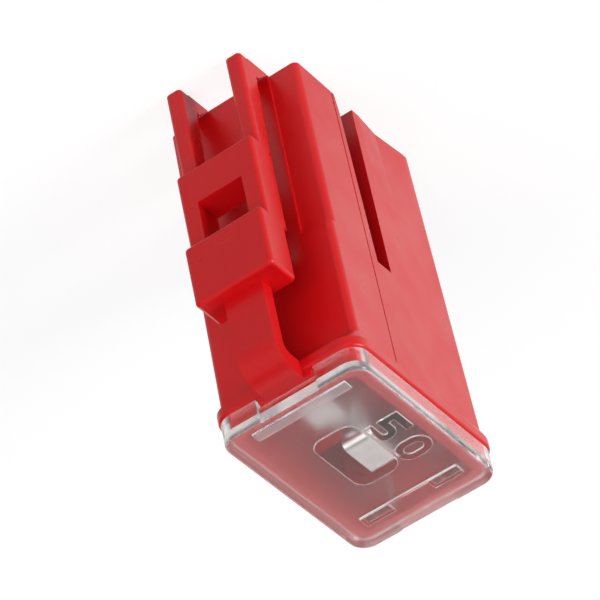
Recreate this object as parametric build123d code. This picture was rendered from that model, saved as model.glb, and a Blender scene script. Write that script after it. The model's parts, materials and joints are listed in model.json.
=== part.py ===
from build123d import *
import os

os.makedirs("parts", exist_ok=True)

# Frame: Z runs from the terminal end (0) up to the window, -Y is the latch side.
# Housing body, sized at the window end and drafted towards the terminal end.
height = 30.7
body_width = 12.0
body_depth = 16.6
width_draft = 0.36
depth_draft = 1.06
body_corner = 0.5
outer_wall = 1.1
end_wall = 0.8

# Flange under the window cover, measured down from the window end.
flare_drop = 3.8
flange_drop = 2.9
rim_drop = 2.0
flange_lip = 0.15
flange_edge = 0.25
key_width = 4.6

# Window cover.
cover_margin_x = 0.2
cover_margin_y = 0.825
cover_corner = 1.5
plate_thickness = 1.0
cover_wall = 0.6
cover_edge = 0.35
notch_width = 5.0
notch_rise = 0.65
notch_inset = 0.3
cover_clearance = 0.04

# Spring clips under the cover's far end, each below a raised boss on the plate.
clip_width = 2.5
clip_thickness = 0.7
clip_spacing = 6.0
clip_x = -0.4
clip_length = 2.6
clip_gap = 0.15
boss_length = 1.1
boss_rise = 0.2
boss_inset = 0.5
ridge_width = 0.2

# Marks on the plate: a pane, plain rating figures and a grip rail, all slightly raised.
pane_width = 3.7
pane_length = 6.8
pane_corner = 1.1
pane_x = -0.15
pane_y = -0.9
mark_height = 0.12
figure_width = 2.2
figure_height = 2.8
figure_stroke = 0.62
figure_pitch = 3.2
figure_x = -3.6
figure_y = -0.2
rail_length = 8.0
rail_width = 0.9
rail_rise = 0.2
rail_x = -0.3
rail_inset = 1.2

# Chamber and terminal cavities.
chamber_depth = 8.7
chamber_wall = 1.3
chamber_corner = 0.4
neck_wall = 0.7
neck_depth = 3.0
deck_half = 3.1
deck_clearance = 0.3
slot_wall = 1.0
mouth_chamfer = 0.4
mouth_clearance = 0.3
rib_width = 1.0
rib_spacing = 6.4
rib_height = 17.0

# Slot between the two terminal compartments, open at the terminal end.
slot_gap = 2.19
slot_lead = 0.2
slot_lead_height = 1.9
slot_drift = 0.21
slot_length = 16.7
seam_inset = 0.34
seam_drift = 0.23
seam_size = 0.13

# Shallow relief on both sides of the latch, and a sink on the far half of each broad face.
relief_depth = 0.25
relief_length = 16.2
sink_depth = 0.26
sink_height = 8.5
sink_end_depth = 0.001
sink_y = 3.4
sink_inset = 0.9
sink_reach = 1.0

# Latch arm: reaches are measured out from the latch face at the window end.
arm_half = 3.4
arm_round = 0.35
arm_edge = 0.15
fork_gap = 4.12
leg_tip = 0.1
leg_reach = 3.2
leg_rear_tip_reach = 0.95
leg_rear_reach = 1.5
nose_clearance = 0.1
nose_rise = 1.3
frame_start = 9.2
frame_reach = 4.2
frame_rear_reach = 1.7
window_half = 1.95
window_start = 12.4
window_end = 16.2
pad_start = 16.65
pad_end = 22.1
pad_reach = 5.1
pad_rear_reach = 2.0
pad_edge = 0.3
leg_rib_width = 0.7
leg_rib_depth = 0.75
stem_half = 1.65
stem_reach = 3.95
stem_thickness = 1.2
stem_bend_drop = 3.7
stem_root_thickness = 1.5
stem_overlap = 1.0

# Stamped element: two female terminals and the link between them.
sheet = 0.6
bend = 0.4
blade_width = 8.0
blade_thickness = 0.8
terminal_clearance = 0.1
terminal_length = 14.2
lip_tip = 0.5
lip_contact = 1.5
lip_root = 2.6
terminal_height = 3.0
link_clearance = 1.5
shoulder_drop = 2.9
near_step = 1.67
far_step = 2.47
dip_center = -1.2
dip_width = 3.0
dip_depth = 2.5
link_width = 2.5
link_neck_width = 1.3
taper_drop = 4.1
taper_length = 3.3
slug_width = 1.5
slug_length = 1.3
slug_height = 0.8
crimp = 0.3

# Levels and planes that several pieces share.
flare_start = height - flare_drop
flange_start = height - flange_drop
flange_top = height - rim_drop
notch_top = flange_top + notch_rise
key_top = notch_top - cover_clearance
plate_bottom = height - plate_thickness
cover_width = body_width + 2 * cover_margin_x
cover_depth = body_depth + 2 * cover_margin_y
end_half_depth = (body_depth - depth_draft) / 2
latch_face = -body_depth / 2
cavity_width = blade_width + 2 * (sheet + 2 * terminal_clearance)
cavity_depth = terminal_height + 2 * terminal_clearance
cavity_outer = end_half_depth - outer_wall
chamber_floor = height - chamber_depth
slot_near = cavity_depth + slot_wall + slot_lead - cavity_outer
slot_far = slot_near + slot_gap
near_cavity = (-cavity_outer, cavity_depth - cavity_outer)
far_cavity = (slot_far + slot_wall, cavity_outer)
base_plane = cavity_outer - terminal_clearance - sheet / 2
blade_plane = base_plane - sheet / 2 - blade_thickness / 2
link_crest = plate_bottom - link_clearance - sheet / 2
dip_floor = link_crest - dip_depth
taper_end = link_crest - taper_drop


def body_size(z):
    taper = (height - z) / height
    return body_width - width_draft * taper, body_depth - depth_draft * taper


def body_plan(z, inset=0.0):
    width, depth = body_size(z)
    return Pos(0, 0, z) * RectangleRounded(width - 2 * inset, depth - 2 * inset, body_corner)


def cover_plan(z, inset=0.0):
    width = cover_width - 2 * inset
    depth = cover_depth - 2 * inset
    return Pos(0, 0, z) * RectangleRounded(width, depth, cover_corner - min(inset, cover_corner / 2))


def span_box(x_low, x_high, y_low, y_high, z_low, z_high):
    center = Pos((x_low + x_high) / 2, (y_low + y_high) / 2, (z_low + z_high) / 2)
    return center * Box(x_high - x_low, y_high - y_low, z_high - z_low)


def side_profile(points, half):
    # An outline in Y and Z, extruded both ways along X.
    return extrude(Plane.YZ * make_face(Polyline(*points, close=True)), half, both=True)


def body_shell():
    body = loft([body_plan(0), body_plan(flare_start)])
    flange_plan = cover_plan(flange_start, -flange_lip)
    flare = loft([body_plan(flare_start), flange_plan])
    flange = extrude(flange_plan, flange_top - flange_start)
    collar = flare + flange
    collar = fillet(collar.edges().group_by(Axis.Z)[-1], flange_edge)
    neck_plan = cover_plan(flange_top, cover_wall + cover_clearance)
    neck = extrude(neck_plan, plate_bottom - cover_clearance - flange_top)
    keys = span_box(-key_width / 2, key_width / 2, -cover_depth / 2, cover_depth / 2,
                    flange_top - flange_edge, key_top)
    return body + collar + neck + keys


def latch_relief():
    # The latch face steps back beside the latch, from the terminal end to a ledge.
    reach = body_width
    sides = span_box(-reach, reach, -body_depth, 0, -1, relief_length)
    sides -= span_box(-arm_half, arm_half, -body_depth, 0, -1, relief_length)
    stepped = Pos(0, relief_depth, 0) * loft([body_plan(0), body_plan(flare_start)])
    return sides - stepped - span_box(-reach, reach, -1, 0, -1, relief_length)


def slot_cut():
    points = [
        (slot_near - slot_lead, 0),
        (slot_near, slot_lead_height),
        (slot_near + slot_drift, slot_length),
        (slot_far - slot_drift, slot_length),
        (slot_far, 0),
        (slot_far, -1),
        (slot_near - slot_lead, -1),
    ]
    return side_profile(points, body_width)


def seam_cuts():
    # A fine joint line down each broad face, just on the latch side of the slot.
    half = seam_size / 2
    start = slot_near - slot_lead - seam_inset
    points = [
        (start - half, -1),
        (start + half, -1),
        (start - seam_drift + half, flare_start),
        (start - seam_drift - half, flare_start),
    ]
    line = side_profile(points, body_width)
    core = loft([body_plan(-1, seam_size), body_plan(flare_start, seam_size)])
    return line - core


def sink_plan(z, side, depth):
    face = body_size(z)[0] / 2
    near = slot_far + sink_inset
    far = end_half_depth - sink_inset
    points = [
        (side * (face + sink_reach), near),
        (side * face, near),
        (side * (face - depth), sink_y),
        (side * face, far),
        (side * (face + sink_reach), far),
    ]
    return Pos(0, 0, z) * make_face(Polyline(*points, close=True))


def sinks():
    # A shallow V on the far half of each broad face, deepest at the terminal end.
    both = Part()
    for side in (-1, 1):
        both += loft([sink_plan(0, side, sink_depth), sink_plan(sink_height, side, sink_end_depth)])
    return both


def terminal_cavity(limits, blade_y):
    y_low, y_high = limits
    half = cavity_width / 2
    cavity = span_box(-half, half, y_low, y_high, end_wall, chamber_floor)
    mouth_width = blade_width + 2 * mouth_clearance
    mouth_height = blade_thickness + 2 * mouth_clearance
    mouth = span_box(-mouth_width / 2, mouth_width / 2, blade_y - mouth_height / 2,
                     blade_y + mouth_height / 2, 0, end_wall)
    lead_low = Rectangle(mouth_width + 2 * mouth_chamfer, mouth_height + 2 * mouth_chamfer)
    lead_high = Pos(0, 0, mouth_chamfer) * Rectangle(mouth_width, mouth_height)
    lead_in = Pos(0, blade_y, 0) * loft([lead_low, lead_high])
    return cavity + mouth + lead_in


def chamber_cut():
    # One chamber round the link, wide enough to pass both terminals.
    depth = body_size(chamber_floor)[1] - 2 * chamber_wall
    plan = Pos(0, 0, chamber_floor) * RectangleRounded(cavity_width, depth, chamber_corner)
    neck_plan = cover_plan(height - neck_depth, cover_wall + cover_clearance + neck_wall)
    deck_top = dip_floor - sheet / 2 - deck_clearance
    deck = span_box(-cavity_width, cavity_width, -deck_half, deck_half, chamber_floor, deck_top)
    return extrude(plan, height - chamber_floor) + extrude(neck_plan, neck_depth) - deck


def far_ribs():
    # Ribs that fill the deeper compartment up to the terminal.
    y_low, y_high = far_cavity
    rib_end = y_high - terminal_height - 2 * terminal_clearance
    ribs = Part()
    for side in (-1, 1):
        x = side * rib_spacing / 2
        ribs += span_box(x - rib_width / 2, x + rib_width / 2, y_low - slot_wall / 2, rib_end,
                         end_wall / 2, rib_height)
    return ribs


def arm_slab(z_low, z_high, reach, rear_reach, edge):
    plan = RectangleRounded(2 * arm_half, reach - rear_reach, arm_round)
    slab = extrude(Pos(0, latch_face - (reach + rear_reach) / 2, z_low) * plan, z_high - z_low)
    return fillet(slab.edges().group_by(Axis.Z)[-1] + slab.edges().group_by(Axis.Z)[0], edge)


def latch_leg(side):
    inner = fork_gap / 2
    x = side * (arm_half + inner) / 2
    width = arm_half - inner
    leg_rear_tip = latch_face - leg_rear_tip_reach
    pad_rear = latch_face - pad_rear_reach
    tip_plan = RectangleRounded(width, leg_reach - leg_rear_tip_reach, arm_round)
    root_plan = RectangleRounded(width, leg_reach - leg_rear_reach, arm_round)
    tip = Pos(x, latch_face - (leg_reach + leg_rear_tip_reach) / 2, leg_tip) * tip_plan
    root = Pos(x, latch_face - (leg_reach + leg_rear_reach) / 2, frame_start + arm_round) * root_plan
    leg = loft([tip, root])
    leg = fillet(leg.edges().group_by(Axis.Z)[0], arm_edge)
    nose_end = -end_half_depth - nose_clearance
    middle = latch_face - (leg_reach + leg_rear_tip_reach) / 2
    nose_points = [
        (middle, leg_tip),
        (nose_end, 0),
        (nose_end, nose_clearance),
        (leg_rear_tip, leg_tip + nose_rise),
        (middle, leg_tip + nose_rise),
    ]
    nose = Pos(x, 0, 0) * side_profile(nose_points, width / 2)
    rib_points = [
        (leg_rear_tip - leg_rib_depth, leg_tip + nose_rise),
        (leg_rear_tip, leg_tip + nose_rise),
        (pad_rear + leg_rib_depth, pad_start),
        (pad_rear - leg_rib_depth, pad_start),
    ]
    rib = Pos(x, 0, 0) * side_profile(rib_points, leg_rib_width / 2)
    return leg + nose + rib


def latch_stem():
    # The strap below the pad, bent round into the flange.
    start = pad_end - stem_overlap
    stem_bend = height - stem_bend_drop
    stem_front = latch_face - stem_reach
    drop = key_top - stem_bend
    rear = stem_front + stem_thickness
    inner_bottom = key_top - stem_root_thickness
    root = -cover_depth / 2 + stem_thickness
    outer_line = Line((stem_front, start), (stem_front, stem_bend))
    outer_arc = CenterArc((stem_front + drop, stem_bend), drop, 90, 90)
    floor_line = Line((stem_front + drop, key_top), (root, key_top))
    root_line = Line((root, key_top), (root, inner_bottom))
    inner_drop = inner_bottom - stem_bend
    ledge_line = Line((root, inner_bottom), (rear + inner_drop, inner_bottom))
    inner_arc = CenterArc((rear + inner_drop, stem_bend), inner_drop, 90, 90)
    inner_line = Line((rear, stem_bend), (rear, start))
    top_line = Line((rear, start), (stem_front, start))
    outline = [outer_line, outer_arc, floor_line, root_line, ledge_line, inner_arc, inner_line, top_line]
    return extrude(Plane.YZ * make_face(outline), stem_half, both=True)


def latch_arm():
    frame = arm_slab(frame_start, pad_start + pad_edge + arm_edge, frame_reach, frame_rear_reach, arm_edge)
    pad = arm_slab(pad_start, pad_end, pad_reach, pad_rear_reach, pad_edge)
    opening = span_box(-window_half, window_half, latch_face - 2 * pad_reach, latch_face, window_start, window_end)
    arm = frame + pad + latch_leg(-1) + latch_leg(1) - opening
    return arm + latch_stem()


def housing():
    shell = body_shell() - latch_relief() - seam_cuts() - sinks() - slot_cut() - chamber_cut()
    shell -= terminal_cavity(near_cavity, -blade_plane)
    shell -= terminal_cavity(far_cavity, blade_plane)
    return shell + far_ribs() + latch_arm()


def bar(x_low, x_high, y_low, y_high):
    return Pos((x_low + x_high) / 2, (y_low + y_high) / 2, 0) * Rectangle(x_high - x_low, y_high - y_low)


def figure_five():
    # A plain numeral drawn in strokes, upright along Y.
    left = -figure_width / 2
    top = figure_height / 2
    middle = figure_stroke / 2
    bowl_radius = (top + middle) / 2
    bowl_x = figure_width / 2 - bowl_radius
    bowl = Circle(bowl_radius) - Circle(bowl_radius - figure_stroke)
    bowl -= bar(-bowl_radius, 0, -bowl_radius, bowl_radius)
    foot = bar(left, bowl_x, -top, figure_stroke - top)
    waist = bar(left, bowl_x, -middle, middle)
    neck = bar(left, left + figure_stroke, -middle, top)
    head = bar(left, figure_width / 2, top - figure_stroke, top)
    return foot + waist + neck + head + Pos(bowl_x, bowl_radius - top, 0) * bowl


def figure_zero():
    outer = SlotOverall(figure_height, figure_width)
    inner = SlotOverall(figure_height - 2 * figure_stroke, figure_width - 2 * figure_stroke)
    return Rot(0, 0, 90) * (outer - inner)


def cover_marks():
    # The figures read from the latch side, and the ridge joins the two bosses.
    pane = Pos(pane_x, pane_y, 0) * RectangleRounded(pane_width, pane_length, pane_corner)
    turned = Rot(0, 0, 90)
    five = Pos(figure_x, figure_y - figure_pitch / 2, 0) * turned * figure_five()
    zero = Pos(figure_x, figure_y + figure_pitch / 2, 0) * turned * figure_zero()
    ridge_start = boss_y() - boss_length / 2
    ridge_half = (clip_spacing - clip_width) / 2
    ridge = bar(clip_x - ridge_half, clip_x + ridge_half, ridge_start, ridge_start + ridge_width)
    return extrude(Pos(0, 0, height - mark_height) * (pane + five + zero + ridge), 2 * mark_height)


def clip_y():
    # Middle of the clips, which bear on the chamber's far wall with a small gap.
    neck_half = cover_depth / 2 - cover_wall - cover_clearance - neck_wall
    return min(body_size(chamber_floor)[1] / 2 - chamber_wall, neck_half) - clip_gap - clip_thickness / 2


def boss_y():
    return clip_y() - boss_inset


def window_cover():
    seat = flange_top + cover_clearance
    skin = extrude(cover_plan(seat), height - seat)
    skin = fillet(skin.faces().sort_by(Axis.Z)[-1].edges(), cover_edge)
    hollow = extrude(cover_plan(0, cover_wall), plate_bottom)
    notch = span_box(-notch_width / 2, notch_width / 2, -cover_depth, cover_depth, 0, notch_top)
    edge = cover_depth / 2 - notch_inset
    setback = span_box(-notch_width / 2, notch_width / 2, -cover_depth, cover_depth, 0, 2 * height)
    setback -= span_box(-notch_width, notch_width, -edge, edge, 0, 2 * height)
    cover = skin - hollow - notch - setback + cover_marks()
    rail_y = rail_inset - cover_depth / 2
    cover += span_box(rail_x - rail_length / 2, rail_x + rail_length / 2, rail_y - rail_width / 2,
                      rail_y + rail_width / 2, plate_bottom, height + rail_rise)
    for side in (-1, 1):
        x_low = clip_x + side * clip_spacing / 2 - clip_width / 2
        x_high = x_low + clip_width
        cover += span_box(x_low, x_high, clip_y() - clip_thickness / 2, clip_y() + clip_thickness / 2,
                          plate_bottom - clip_length, plate_bottom)
        cover += span_box(x_low, x_high, boss_y() - boss_length / 2, boss_y() + boss_length / 2,
                          plate_bottom, height + boss_rise)
    return cover


def sheet_section(points, radius, thickness=sheet):
    # A folded strip of even thickness along an open line of points.
    line = FilletPolyline(*points, radius=radius)
    return make_face(offset(Wire(line.edges()), thickness / 2, side=Side.BOTH).edges())


def terminal(side):
    # A flat plate with both edges folded over into lips that press on the blade.
    half = blade_width / 2 + terminal_clearance + sheet / 2
    contact = blade_thickness + sheet
    roof = terminal_height - sheet
    points = [
        (-lip_tip, contact + sheet),
        (-lip_contact, contact),
        (-lip_root, roof),
        (-half, roof),
        (-half, 0),
        (half, 0),
        (half, roof),
        (lip_root, roof),
        (lip_contact, contact),
        (lip_tip, contact + sheet),
    ]
    section = Pos(0, 0, end_wall) * sheet_section(points, bend)
    body = extrude(section, terminal_length)
    placed = Pos(0, -base_plane, 0) * body
    return placed if side < 0 else mirror(placed, Plane.XZ)


def link_ribbon():
    dip_near = dip_center - dip_width / 2
    dip_far = dip_center + dip_width / 2
    points = [
        (-base_plane, end_wall + terminal_length),
        (-base_plane, link_crest - shoulder_drop),
        (near_step - base_plane, link_crest),
        (dip_near, link_crest),
        (dip_near, dip_floor),
        (dip_far, dip_floor),
        (dip_far, link_crest),
        (base_plane - far_step, link_crest),
        (base_plane, link_crest - shoulder_drop),
        (base_plane, end_wall + terminal_length),
    ]
    section = Plane.YZ * sheet_section(points, bend)
    return extrude(section, body_width, both=True)


def link_outline():
    # Width of the strip seen along Y: full at the terminals, narrow at the link.
    wide = blade_width / 2
    narrow = link_width / 2
    taper_start = taper_end - taper_length
    points = [
        (-wide, 0),
        (-wide, taper_start),
        (-narrow, taper_end),
        (-narrow, height),
        (narrow, height),
        (narrow, taper_end),
        (wide, taper_start),
        (wide, 0),
    ]
    return extrude(Plane.XZ * make_face(Polyline(*points, close=True)), body_depth, both=True)


def slug_box(extra=0.0):
    z_low = dip_floor + sheet / 2
    half_x = slug_width / 2 + extra
    half_y = slug_length / 2
    return span_box(-half_x, half_x, dip_center - half_y, dip_center + half_y, z_low, z_low + slug_height + extra)


def fuse_element():
    link = link_ribbon() & link_outline()
    neck_half = link_neck_width / 2
    for side in (-1, 1):
        x = side * (neck_half + body_width / 2)
        y = dip_center + side * (slug_length / 2 + sheet / 2)
        link -= Pos(x, y, dip_floor) * Box(body_width, sheet, sheet + 2 * crimp)
    ears = slug_box(crimp) - slug_box()
    gap = slug_width / 4
    ears -= span_box(-gap, gap, dip_center - slug_length, dip_center + slug_length, dip_floor + sheet, link_crest)
    return terminal(-1) + terminal(1) + link + ears


export_step(housing(), "parts/housing.step")
export_step(window_cover(), "parts/window_cover.step")
export_step(fuse_element(), "parts/fuse_element.step")
export_step(slug_box(), "parts/tin_slug.step")
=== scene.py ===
import json
import bpy
import bmesh
from mathutils import Matrix, Vector

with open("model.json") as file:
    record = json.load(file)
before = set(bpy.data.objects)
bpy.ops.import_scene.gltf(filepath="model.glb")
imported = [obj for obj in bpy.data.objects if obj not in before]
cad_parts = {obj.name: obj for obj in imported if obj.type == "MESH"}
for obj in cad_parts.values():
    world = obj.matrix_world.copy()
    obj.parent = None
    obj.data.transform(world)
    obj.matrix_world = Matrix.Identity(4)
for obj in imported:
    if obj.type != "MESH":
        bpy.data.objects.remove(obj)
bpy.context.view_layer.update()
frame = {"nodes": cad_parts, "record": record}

mm = 0.001
nodes = frame["nodes"]
print("frame loaded:", sorted(nodes))


# Shader sockets as numbers and colours

class Signal:
    # One output socket, with the sums a material needs.
    def __init__(self, finish, socket):
        self.finish = finish
        self.socket = socket

    def maths(self, operation, other, swap=False, clamp=False):
        pair = [other, self] if swap else [self, other]
        settings = {"operation": operation, "use_clamp": clamp}
        return self.finish.add("ShaderNodeMath", settings, dict(enumerate(pair)))

    def __add__(self, other):
        return self.maths("ADD", other)

    def __radd__(self, other):
        return self.maths("ADD", other)

    def __sub__(self, other):
        return self.maths("SUBTRACT", other)

    def __rsub__(self, other):
        return self.maths("SUBTRACT", other, swap=True)

    def __mul__(self, other):
        return self.maths("MULTIPLY", other)

    def __rmul__(self, other):
        return self.maths("MULTIPLY", other)

    def clamped(self):
        return self.maths("ADD", 0.0, clamp=True)

    def part(self, name):
        return Signal(self.finish, self.socket.node.outputs[name])


class Finish:
    # The nodes of a material or the world: its shader, and one way to add any other node.
    def __init__(self, holder, shader="Principled BSDF", **fixed):
        self.holder = holder
        holder.use_nodes = True
        self.tree = holder.node_tree
        self.shader = self.tree.nodes[shader]
        for socket, value in fixed.items():
            self.shader.inputs[socket.replace("_", " ")].default_value = value

    def add(self, kind, settings=None, sockets=None, output=0):
        node = self.tree.nodes.new(kind)
        for name, value in (settings or {}).items():
            setattr(node, name, value)
        for key, value in (sockets or {}).items():
            if isinstance(value, Signal):
                self.tree.links.new(value.socket, node.inputs[key])
            else:
                node.inputs[key].default_value = value
        return Signal(self, node.outputs[output])

    def feed(self, **links):
        for name, signal in links.items():
            self.tree.links.new(signal.socket, self.shader.inputs[name.replace("_", " ")])

    def blend(self, amount, low, high):
        # Colours go through Mix: its colour sockets are numbers 6 and 7, its result number 2.
        return self.add("ShaderNodeMix", {"data_type": "RGBA"},
                        {0: amount, 6: low, 7: high}, output=2)

    def ramp(self, value, low, high, start=0.0, end=1.0):
        ends = {"Value": value, "From Min": low, "From Max": high, "To Min": start, "To Max": end}
        return self.add("ShaderNodeMapRange", {"clamp": True}, ends)

    def place(self):
        return self.add("ShaderNodeTexCoord").part("Object")

    def along(self, axis, vector):
        return self.add("ShaderNodeSeparateXYZ", {}, {"Vector": vector}).part(axis)

    def grain(self, scale, detail, stretch=(1, 1, 1), seed=0.0):
        # The seed moves the pattern, so that two grains of one finish don't line up.
        shift = (seed, seed * 0.7, seed * 0.3)
        where = self.add("ShaderNodeMapping", {},
                         {"Vector": self.place(), "Scale": stretch, "Location": shift})
        return self.add("ShaderNodeTexNoise", {},
                        {"Vector": where, "Scale": scale, "Detail": detail})

    def bump(self, height, strength, distance):
        return self.add("ShaderNodeBump", {},
                        {"Height": height, "Strength": strength, "Distance": distance})

    def rays(self, *kinds):
        # 1 for rays of these kinds, 0 for the rest, such as the light on the object.
        path = self.add("ShaderNodeLightPath")
        total = path.part("Is " + kinds[0] + " Ray")
        for kind in kinds[1:]:
            total = total + path.part("Is " + kind + " Ray")
        return total.clamped()

    def past(self, axis, level, soft=0.01 * mm):
        # 1 beyond a level along an axis, from a hair before it to a hair after.
        return self.ramp(self.along(axis, self.place()), level - soft, level + soft)

    def facingUp(self, none=0.85, full=0.95):
        # 1 on faces that look up, from the height of their normal.
        normal = self.add("ShaderNodeNewGeometry").part("Normal")
        return self.ramp(self.along("Z", normal), none, full)

    def nearEdge(self, radius, none, full, samples=6):
        # 1 on sharp edges and within a radius of them, from how far a rounded normal would lean.
        rounded = self.add("ShaderNodeBevel", {"samples": samples}, {"Radius": radius})
        flat = self.add("ShaderNodeNewGeometry").part("True Normal")
        match = self.add("ShaderNodeVectorMath", {"operation": "DOT_PRODUCT"},
                         {0: rounded, 1: flat})
        return self.ramp(1 - match.part("Value"), none, full)

    def letLampsThrough(self, tint):
        # Lamps light what is behind the piece, as through thin clear plastic.
        gap = self.add("ShaderNodeBsdfTransparent", {}, {"Color": tint})
        isShadow = self.add("ShaderNodeLightPath").part("Is Shadow Ray")
        solid = Signal(self, self.shader.outputs[0])
        mixed = self.add("ShaderNodeMixShader", {}, {0: isShadow, 1: solid, 2: gap})
        self.tree.links.new(mixed.socket, self.tree.nodes["Material Output"].inputs["Surface"])


def newFinish(name, **fixed):
    return Finish(bpy.data.materials.new(name), **fixed)


def dress(node, finish):
    piece = nodes[node]
    for slot in piece.material_slots:
        slot.material = finish.holder
    if not piece.material_slots:
        piece.data.materials.append(finish.holder)


# Red moulded plastic of the housing and its latch arm

redPlastic = {
    "colour": (0.72, 0.0062, 0.0092, 1),
    "deepColour": (0.67, 0.0050, 0.0076, 1),
    "ior": 1.5,
    "glow": 0.2,  # share of the light that spreads inside the plastic
    "glowDepth": 0.5,  # how far it spreads, in mm
    "glowReach": (1.0, 0.12, 0.1),  # and the share of that for red, green and blue
    "flowScale": 160.0,
    "flowStretch": (1, 1, 0.35),  # long along the pull of the mould
    "smearScale": 320.0,
    "grainRange": (0.05, 0.95),  # wide, so that the colour and the gloss drift softly
    "roughness": 0.22,
    "roughnessDrift": 0.20,
    "sinkScale": 240.0,
    "sinkDepth": 0.015,  # in mm
    "sinkStrength": 0.3,
}


def housingFinish():
    s = redPlastic
    finish = newFinish("housingRed", IOR=s["ior"], Subsurface_Weight=s["glow"],
                       Subsurface_Radius=s["glowReach"], Subsurface_Scale=s["glowDepth"] * mm)
    flow = finish.grain(s["flowScale"], detail=1.0, stretch=s["flowStretch"])
    smear = finish.grain(s["smearScale"], detail=1.0, seed=3.0)
    sinks = finish.grain(s["sinkScale"], detail=0.0, seed=8.0)
    finish.feed(
        Base_Color=finish.blend(finish.ramp(flow, *s["grainRange"]), s["colour"], s["deepColour"]),
        Roughness=finish.ramp(smear, *s["grainRange"], s["roughness"],
                              s["roughness"] + s["roughnessDrift"]),
        Normal=finish.bump(sinks, s["sinkStrength"], s["sinkDepth"] * mm),
    )
    return finish


# Clear plastic of the window cover: polished, with a frosted field round the raised marks

clearPlastic = {
    "colour": (0.97, 0.95, 0.95, 1),
    "frostColour": (0.86, 0.87, 0.88, 1),
    "ior": 1.5,
    "polished": 0.04,
    "frosted": 0.31,
    "wallBlur": 0.08,
    "cloudScale": 240.0,
    "cloudBlur": 0.06,
    # Painted highlight: the cover's edges take this cream colour and turn partly metallic, which
    # draws bright lines along them.
    "edgeColour": (1.0, 0.91, 0.85, 1),
    "edgeWidth": 0.11,  # in mm
    "edgeFade": (0.02, 0.12),
    "edgeGlint": 0.65,
    # Painted sheen: the grip rail's raised top turns partly metallic, which shows it as a grey
    # band.
    "railHaze": 0.25,
    "railEdge": -7.0,  # the grip rail lies beyond this Y, in mm
    "bossRise": 0.2,  # highest point above the plate, in mm
    "plateFrom": 0.15,  # what is less than this below the plate's top counts as on it, in mm
    "markFrom": 0.06,  # and what is more than this above it as a raised mark
    "lampTint": (0.43, 0.42, 0.42, 1),
}


def coverFinish():
    s = clearPlastic
    finish = newFinish("coverClear", IOR=s["ior"], Transmission_Weight=1.0)
    plateTop = frame["record"]["size"]["bbox_m"][2] - s["bossRise"] * mm
    onTop = finish.facingUp() * finish.past("Z", plateTop - s["plateFrom"] * mm)
    raised = finish.past("Z", plateTop + s["markFrom"] * mm)
    pastRail = finish.past("Y", s["railEdge"] * mm)
    frost = onTop * (1 - raised * pastRail)
    # Painted sheen on the top of the raised grip rail.
    railSheenMask = onTop * raised * (1 - pastRail)
    wall = 1 - finish.facingUp()
    cloud = finish.grain(s["cloudScale"], detail=1.0, seed=5.0)
    # Painted highlight on the edges beyond the rail: cream and partly metallic.
    paintedEdgeHighlight = finish.nearEdge(s["edgeWidth"] * mm, *s["edgeFade"]) * pastRail
    blur = frost * s["frosted"] + wall * s["wallBlur"] + cloud * s["cloudBlur"]
    clear = finish.blend(frost, s["colour"], s["frostColour"])
    finish.feed(
        Base_Color=finish.blend(paintedEdgeHighlight, clear, s["edgeColour"]),
        Roughness=blur + s["polished"],
        Metallic=paintedEdgeHighlight * s["edgeGlint"] + railSheenMask * s["railHaze"],
    )
    finish.letLampsThrough(s["lampTint"])
    return finish


# Tin plating on the stamped element

tinPlate = {
    "colour": (0.92, 0.91, 0.90, 1),
    "dullColour": (0.80, 0.79, 0.78, 1),
    "cloudScale": 900.0,
    "cloudRange": (0.35, 0.7),
    "drawnScale": 3000.0,
    "drawnStretch": (6, 6, 0.2),  # fine lines up and down, from the rolled strip
    "drawnRange": (0.3, 0.7),
    "drawnDepth": 0.004,  # in mm
    "drawnStrength": 0.2,
    "roughness": 0.28,
    "roughnessDrift": 0.16,
}


def plateFinish():
    s = tinPlate
    finish = newFinish("tinPlate", Metallic=1.0)
    cloud = finish.grain(s["cloudScale"], detail=5.0)
    drawn = finish.grain(s["drawnScale"], detail=2.0, stretch=s["drawnStretch"])
    finish.feed(
        Base_Color=finish.blend(finish.ramp(cloud, *s["cloudRange"]), s["colour"], s["dullColour"]),
        Roughness=finish.ramp(drawn, *s["drawnRange"], s["roughness"],
                              s["roughness"] + s["roughnessDrift"]),
        Normal=finish.bump(drawn, s["drawnStrength"], s["drawnDepth"] * mm),
    )
    return finish


# Dull cast tin of the slug in its crimp

castTin = {
    "colour": (0.56, 0.56, 0.58, 1),
    "darkColour": (0.42, 0.42, 0.44, 1),
    "lumpScale": 2200.0,
    "lumpRange": (0.3, 0.7),
    "lumpDepth": 0.02,  # in mm
    "lumpStrength": 0.5,
    "roughness": 0.35,
    "roughnessDrift": 0.25,
}


def slugFinish():
    s = castTin
    finish = newFinish("castTin", Metallic=1.0)
    lumps = finish.grain(s["lumpScale"], detail=4.0)
    finish.feed(
        Base_Color=finish.blend(lumps, s["colour"], s["darkColour"]),
        Roughness=finish.ramp(lumps, *s["lumpRange"], s["roughness"],
                              s["roughness"] + s["roughnessDrift"]),
        Normal=finish.bump(lumps, s["lumpStrength"], s["lumpDepth"] * mm),
    )
    return finish


dress("housing", housingFinish())
dress("window_cover", coverFinish())
dress("fuse_element", plateFinish())
dress("tin_slug", slugFinish())
print("finishes on the CAD nodes")


# Floor

floorLook = {
    "size": 12.0,  # in metres
    "drop": 0.02,  # clear of the faces that stand on it, in mm
    "colour": (0.38, 0.38, 0.38, 1),  # for the light that it throws back on the object
    "seenColour": (0.30, 0.30, 0.30, 1),  # keeps a faint shadow in the white
    "glow": (0.82, 0.82, 0.82, 1),
    "cardGlow": (0.25, 0.25, 0.25, 1),  # shiny surfaces see it darker in front of the latch
    "cardFrom": -0.025,  # along Y, in metres
    "cardTo": 0.012,
    "noGlow": (0, 0, 0, 1),
}


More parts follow.
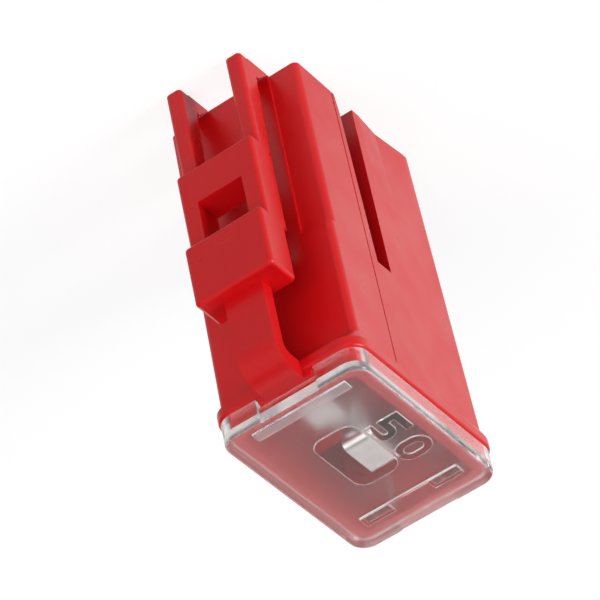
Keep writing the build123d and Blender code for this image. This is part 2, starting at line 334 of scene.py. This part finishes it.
def makeFloor():
    s = floorLook
    mesh = bpy.data.meshes.new("floor")
    shape = bmesh.new()
    bmesh.ops.create_grid(shape, x_segments=1, y_segments=1, size=s["size"] / 2)
    bmesh.ops.translate(shape, verts=shape.verts, vec=(0, 0, -s["drop"] * mm))
    shape.to_mesh(mesh)
    shape.free()
    floor = bpy.data.objects.new("floor", mesh)
    bpy.context.scene.collection.objects.link(floor)
    finish = newFinish("floorWhite", Roughness=1.0, Specular_IOR_Level=0.0,
                       Emission_Strength=1.0)
    seen = finish.rays("Camera", "Glossy", "Transmission")
    across = finish.along("Y", finish.place())
    card = finish.blend(finish.ramp(across, s["cardFrom"], s["cardTo"]), s["cardGlow"], s["glow"])
    shown = finish.blend(finish.rays("Camera"), card, s["glow"])
    finish.feed(
        Base_Color=finish.blend(seen, s["colour"], s["seenColour"]),
        Emission_Color=finish.blend(seen, s["noGlow"], shown),
    )
    floor.data.materials.append(finish.holder)


makeFloor()


# Soft studio light

studio = {
    "colour": (1, 1, 1, 1),
    "ambient": 0.06,  # on the object
    "surround": 1.0,  # as the camera sees it
    "cardHigh": 0.8,  # as shiny surfaces see it, behind the object
    "cardLow": 0.2,  # and on the latch side
    "cardFrom": -0.1,
    "cardTo": 0.4,
    "aim": (0, 0, 15),  # in mm
    "panels": [  # places and sizes in metres
        {"name": "frontPanel", "at": (0.10, -1.60, 1.20), "size": 2.4, "power": 33.0,
         "shows": False},
        {"name": "sidePanel", "at": (-1.90, -0.05, 0.62), "size": 0.9, "power": 32.0,
         "shows": True},
        {"name": "backPanel", "at": (1.60, 1.20, 0.40), "size": 1.4, "power": 8.0,
         "shows": True},
    ],
}


def makeWorld():
    s = studio
    world = bpy.data.worlds.new("studio")
    sky = Finish(world, "Background", Color=s["colour"])
    across = sky.along("Y", sky.add("ShaderNodeTexCoord").part("Generated"))
    card = sky.ramp(across, s["cardFrom"], s["cardTo"], s["cardLow"], s["cardHigh"])
    plain = 1 - sky.rays("Camera", "Glossy", "Transmission")
    forCamera = sky.rays("Camera") * s["surround"]
    forShine = sky.rays("Glossy", "Transmission") * card
    sky.feed(Strength=forCamera + forShine + plain * s["ambient"])
    bpy.context.scene.world = world


def makePanel(name, at, size, power, shows):
    lamp = bpy.data.lights.new(name, "AREA")
    lamp.size = size
    lamp.energy = power
    holder = bpy.data.objects.new(name, lamp)
    bpy.context.scene.collection.objects.link(holder)
    holder.location = at
    holder.visible_glossy = shows
    toAim = Vector(studio["aim"]) * mm - holder.location
    holder.rotation_mode = "QUATERNION"
    holder.rotation_quaternion = toAim.to_track_quat("-Z", "Y")


makeWorld()
for panel in studio["panels"]:
    makePanel(**panel)


# Camera, from the fit to the photograph: right, down and forward as seen in the picture

cameraFit = {
    "place": (-105.549, -211.375, 213.053),  # in mm
    "right": (-0.80651, 0.56721, 0.16679),
    "down": (0.47845, 0.46043, 0.74773),
    "forward": (0.34732, 0.68285, -0.64272),
    "lens": 252.0,
    "sensor": 36.0,
    "clip": (0.01, 10.0),  # in metres
}


def makeCamera():
    s = cameraFit
    data = bpy.data.cameras.new("photoCamera")
    data.lens = s["lens"]
    data.sensor_width = s["sensor"]
    data.clip_start, data.clip_end = s["clip"]
    camera = bpy.data.objects.new("photoCamera", data)
    bpy.context.scene.collection.objects.link(camera)
    turn = Matrix((s["right"], [-x for x in s["down"]], [-x for x in s["forward"]])).transposed()
    camera.matrix_world = Matrix.Translation(Vector(s["place"]) * mm) @ turn.to_4x4()
    bpy.context.scene.camera = camera


makeCamera()

bpy.context.scene.view_settings.view_transform = "Standard"
# Light meets the clear cover's walls many times, and fewer bounces leave black bands there.
cycles = bpy.context.scene.cycles
cycles.max_bounces = 32
cycles.transmission_bounces = 32
cycles.glossy_bounces = 12
print("floor, light and camera")
